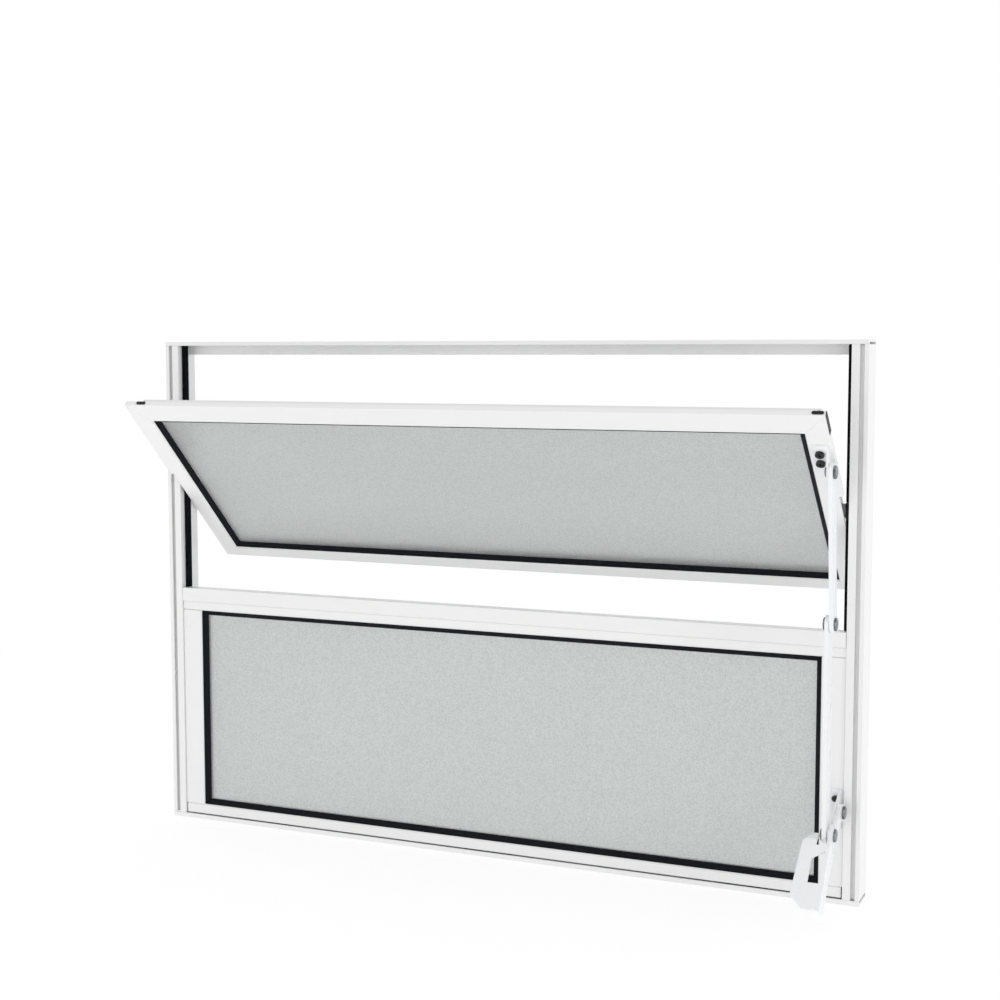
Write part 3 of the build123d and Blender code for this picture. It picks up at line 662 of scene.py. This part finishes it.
def sides(pattern: str, *names: str) -> tuple[str, ...]:
    """Names made by putting each given name into a pattern."""
    return tuple(pattern.format(name) for name in names)


@dataclass
class SubAssembly:
    """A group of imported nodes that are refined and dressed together."""

    suffix: str
    softening: Softening
    nodes: tuple[str, ...]

    def build(self) -> list[bpy.types.Object]:
        """Pieces of all its nodes, each on its node's body."""
        return [self.dress(node) for node in self.nodes]

    def dress(self, node: str) -> bpy.types.Object:
        """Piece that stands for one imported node.

        Args:
            node: Name of the node.

        Returns:
            The piece.
        """
        packed = frame["nodes"][node]
        slot = packed.material_slots[0].material.name.split(".")[0]
        solid = refined(node, self.softening)
        piece = to_piece(solid, f"{node}_{self.suffix}", Finish.of_slot(slot))
        return settle(piece, slot, node)


@dataclass
class OuterFrame(SubAssembly):
    """Head, sill, jambs and transom, all extruded and powder-coated."""

    suffix: str = "profile"
    softening: Softening = EXTRUSION
    nodes: tuple[str, ...] = (
        *sides("frame_{}", "head", "sill", "jamb_left", "jamb_right"),
        "transom",
    )


@dataclass
class Lights(SubAssembly):
    """Rails and stiles of the fixed light and of the sash."""

    suffix: str = "profile"
    softening: Softening = EXTRUSION
    nodes: tuple[str, ...] = (
        "fixed_bottom_rail",
        *sides("fixed_stile_{}", "left", "right"),
        *sides("sash_{}", "top_rail", "bottom_rail", "stile_left", "stile_right"),
    )


@dataclass
class Glazing(SubAssembly):
    """The two obscured panes."""

    suffix: str = "pane"
    softening: Softening = GROUND_GLASS
    nodes: tuple[str, ...] = ("fixed_glass", "sash_glass")


@dataclass
class Gaskets(SubAssembly):
    """Rubber round both panes."""

    suffix: str = "rubber"
    softening: Softening = RUBBER
    nodes: tuple[str, ...] = (
        *sides("fixed_gasket_{}", "bottom", "left", "right", "top"),
        *sides("sash_gasket_{}", "bottom", "left", "right", "top"),
    )


@dataclass
class DraughtStrips(SubAssembly):
    """Black strips in the jambs, beside the sash."""

    suffix: str = "pile"
    softening: Softening = PILE
    nodes: tuple[str, ...] = (
        *sides("weatherstrip_left_{}", "middle", "upper"),
        *sides("weatherstrip_right_{}", "middle", "upper"),
    )


@dataclass
class HiddenFixings(SubAssembly):
    """Cleats inside the hollow bars, and the packers under the fixed light."""

    suffix: str = "fixing"
    softening: Softening = MOULDED
    nodes: tuple[str, ...] = ("fixed_light_cleats", "sash_corner_cleats", "sill_packers")


@dataclass
class Pivots(SubAssembly):
    """Blocks, washers and pins that the sash turns on, and the sash's corner plugs."""

    suffix: str = "part"
    softening: Softening = MOULDED
    nodes: tuple[str, ...] = (
        *sides("pivot_block_{}", "left", "right"),
        *sides("pivot_washer_{}", "left", "right"),
        *sides("pivot_pin_{}", "left", "right"),
        "sash_corner_plugs",
    )


@dataclass
class CrankLinkage(SubAssembly):
    """Pressed lever, link bars and brackets under white powder coat."""

    suffix: str = "pressing"
    softening: Softening = PRESSED
    nodes: tuple[str, ...] = ("lever", "lower_bar", "upper_bar", "sash_bracket", "lever_bracket")


@dataclass
class Fasteners(SubAssembly):
    """Screws, rivets and the spacer on the crank's rivet."""

    suffix: str = "turned"
    softening: Softening = TURNED
    nodes: tuple[str, ...] = (
        "frame_corner_screws",
        "fixed_light_screws",
        "side_screws",
        "sash_bracket_screws",
        "lever_bracket_screws",
        "bar_rivet",
        "crank_rivet",
        "crank_spacer",
        "lever_pivot_rivet",
        "sash_bracket_rivet",
    )


# ------------------------------------------------------------------ studio
def heading(azimuth: float, elevation: float) -> Vector:
    """Direction from the window towards a viewer or a lamp.

    Args:
        azimuth: Degrees round from the window's front towards its right end.
        elevation: Degrees above the horizon.

    Returns:
        The direction, of length 1.
    """
    turn, rise = math.radians(azimuth), math.radians(elevation)
    level = math.cos(rise)
    return Vector((math.sin(turn) * level, -math.cos(turn) * level, math.sin(rise)))


def seen_directly(bench: Bench) -> Signal:
    """Tells what is looked at from what only lights the object.

    Args:
        bench: Where the nodes go.

    Returns:
        1 for what the camera, a reflection or glass shows, else 0.
    """
    camera = bench.node("ShaderNodeLightPath", output="Is Camera Ray")
    glossy = bench.node("ShaderNodeLightPath", output="Is Glossy Ray")
    through = bench.node("ShaderNodeLightPath", output="Is Transmission Ray")
    return camera.or_more(glossy).or_more(through)


@dataclass(frozen=True)
class SoftLamp:
    """A large soft lamp that looks at a point of the window."""

    name: str
    azimuth: float
    elevation: float
    distance: float
    size: float
    power: float
    aim: Axes = (0.0, 0.0, 0.22)

    def build(self) -> None:
        """Hangs the lamp in its place."""
        data = bpy.data.lights.new(self.name, "AREA")
        data.shape = "DISK"
        data.size = self.size
        data.energy = self.power
        lamp = bpy.data.objects.new(self.name, data)
        bpy.context.scene.collection.objects.link(lamp)
        away = heading(self.azimuth, self.elevation)
        lamp.location = Vector(self.aim) + away * self.distance
        lamp.rotation_euler = away.to_track_quat("Z", "Y").to_euler()


@dataclass(frozen=True)
class PaleFloor:
    """Round pale floor that lights the window from below and keeps its soft shadow."""

    radius: float = 6.0
    corners: int = 96
    drop: float = 0.2 * MM
    colour: Colour = (0.97, 0.97, 0.97)
    lift: float = 0.25
    shadow_share: float = 0.26
    shadow_full: float = 0.385
    shadow_gone: float = 1.1

    def build(self) -> None:
        """Lays the floor just under the window."""
        disc = bmesh.new()
        bmesh.ops.create_circle(disc, cap_ends=True, radius=self.radius, segments=self.corners)
        mesh = bpy.data.meshes.new("floor")
        disc.to_mesh(mesh)
        disc.free()
        floor = bpy.data.objects.new("floor", mesh)
        floor.location.z = -self.drop
        bpy.context.scene.collection.objects.link(floor)
        mesh.materials.append(self._material())

    def _material(self) -> bpy.types.Material:
        """White to the eye, except for the shadow near the window.

        Returns:
            The floor's material.
        """
        material, bench = new_material("pale_floor")
        matt = bench.node("ShaderNodeBsdfDiffuse", inputs={"Color": self.colour})
        lit = bench.node("ShaderNodeAddShader", inputs={0: matt, 1: bench.emission(self.lift)})
        length = {"operation": "LENGTH"}
        away = bench.node("ShaderNodeVectorMath", length, {0: bench.place()}, "Value")
        keep = bench.between(away, (self.shadow_full, self.shadow_gone), (self.shadow_share, 0.0))
        plain = seen_directly(bench) * (1.0 - keep)
        mix = bench.node("ShaderNodeMixShader", inputs={0: plain, 1: lit, 2: bench.emission(1.0)})
        bench.node("ShaderNodeOutputMaterial", inputs={"Surface": mix})
        return material


@dataclass(frozen=True)
class Viewpoint:
    """Camera to the right of the window, level with its head and looking a little down."""

    place: Axes = (0.5327, -1.1911, 0.4054)
    azimuth: float = 23.789
    elevation: float = 5.150
    roll: float = -0.043
    focal_share: float = 1.6433
    sensor: float = 36.0
    reach: Span = (0.02, 40.0)

    def build(self) -> None:
        """Sets the camera up and makes it the scene's own."""
        data = bpy.data.cameras.new("camera")
        data.sensor_width = self.sensor
        data.lens = self.sensor * self.focal_share
        data.clip_start, data.clip_end = self.reach
        camera = bpy.data.objects.new("camera", data)
        back = heading(self.azimuth, self.elevation)
        turn, roll = math.radians(self.azimuth), math.radians(self.roll)
        level = Vector((math.cos(turn), math.sin(turn), 0.0))
        upright = back.cross(level)
        right = math.cos(roll) * level + math.sin(roll) * upright
        up = math.cos(roll) * upright - math.sin(roll) * level
        axes = Matrix((right, up, back)).transposed().to_4x4()
        camera.matrix_world = Matrix.Translation(Vector(self.place)) @ axes
        bpy.context.scene.collection.objects.link(camera)
        bpy.context.scene.camera = camera


@dataclass(frozen=True)
class Studio:
    """White surroundings, floor, lamps and camera."""

    ambient: float = 0.82
    floor: PaleFloor = PaleFloor()
    lamps: tuple[SoftLamp, ...] = (
        SoftLamp("key", azimuth=-24, elevation=-2, distance=2.6, size=0.5, power=3.5),
        SoftLamp("side", azimuth=66, elevation=10, distance=2.6, size=0.8, power=6),
    )
    viewpoint: Viewpoint = Viewpoint()

    def build(self) -> None:
        """Sets up the whole studio."""
        self._world()
        self.floor.build()
        for lamp in self.lamps:
            lamp.build()
        self.viewpoint.build()
        bpy.context.scene.view_settings.view_transform = "Standard"
        LOG.info("studio: %d lamps, floor and camera", len(self.lamps))

    def _world(self) -> None:
        """White for the eye, dimmer as a light."""
        world = bpy.data.worlds.new("white_room")
        world.use_nodes = True
        bpy.context.scene.world = world
        bench = Bench(world.node_tree)
        strength = bench.between(seen_directly(bench), WHOLE, (self.ambient, 1.0))
        glow = bench.node("ShaderNodeBackground", inputs={"Color": WHITE, "Strength": strength})
        bench.node("ShaderNodeOutputWorld", inputs={"Surface": glow})


def main() -> None:
    """Builds every sub-assembly in order, then the studio."""
    logging.basicConfig(level=logging.INFO, format="%(message)s")
    groups = (
        OuterFrame(), Lights(), Glazing(), Gaskets(), DraughtStrips(), HiddenFixings(), Pivots(),
        CrankLinkage(), Fasteners(),
    )
    for group in groups:
        pieces = group.build()
        LOG.info("%s: %d pieces", type(group).__name__, len(pieces))
    Studio().build()


if __name__ == "__main__":
    main()
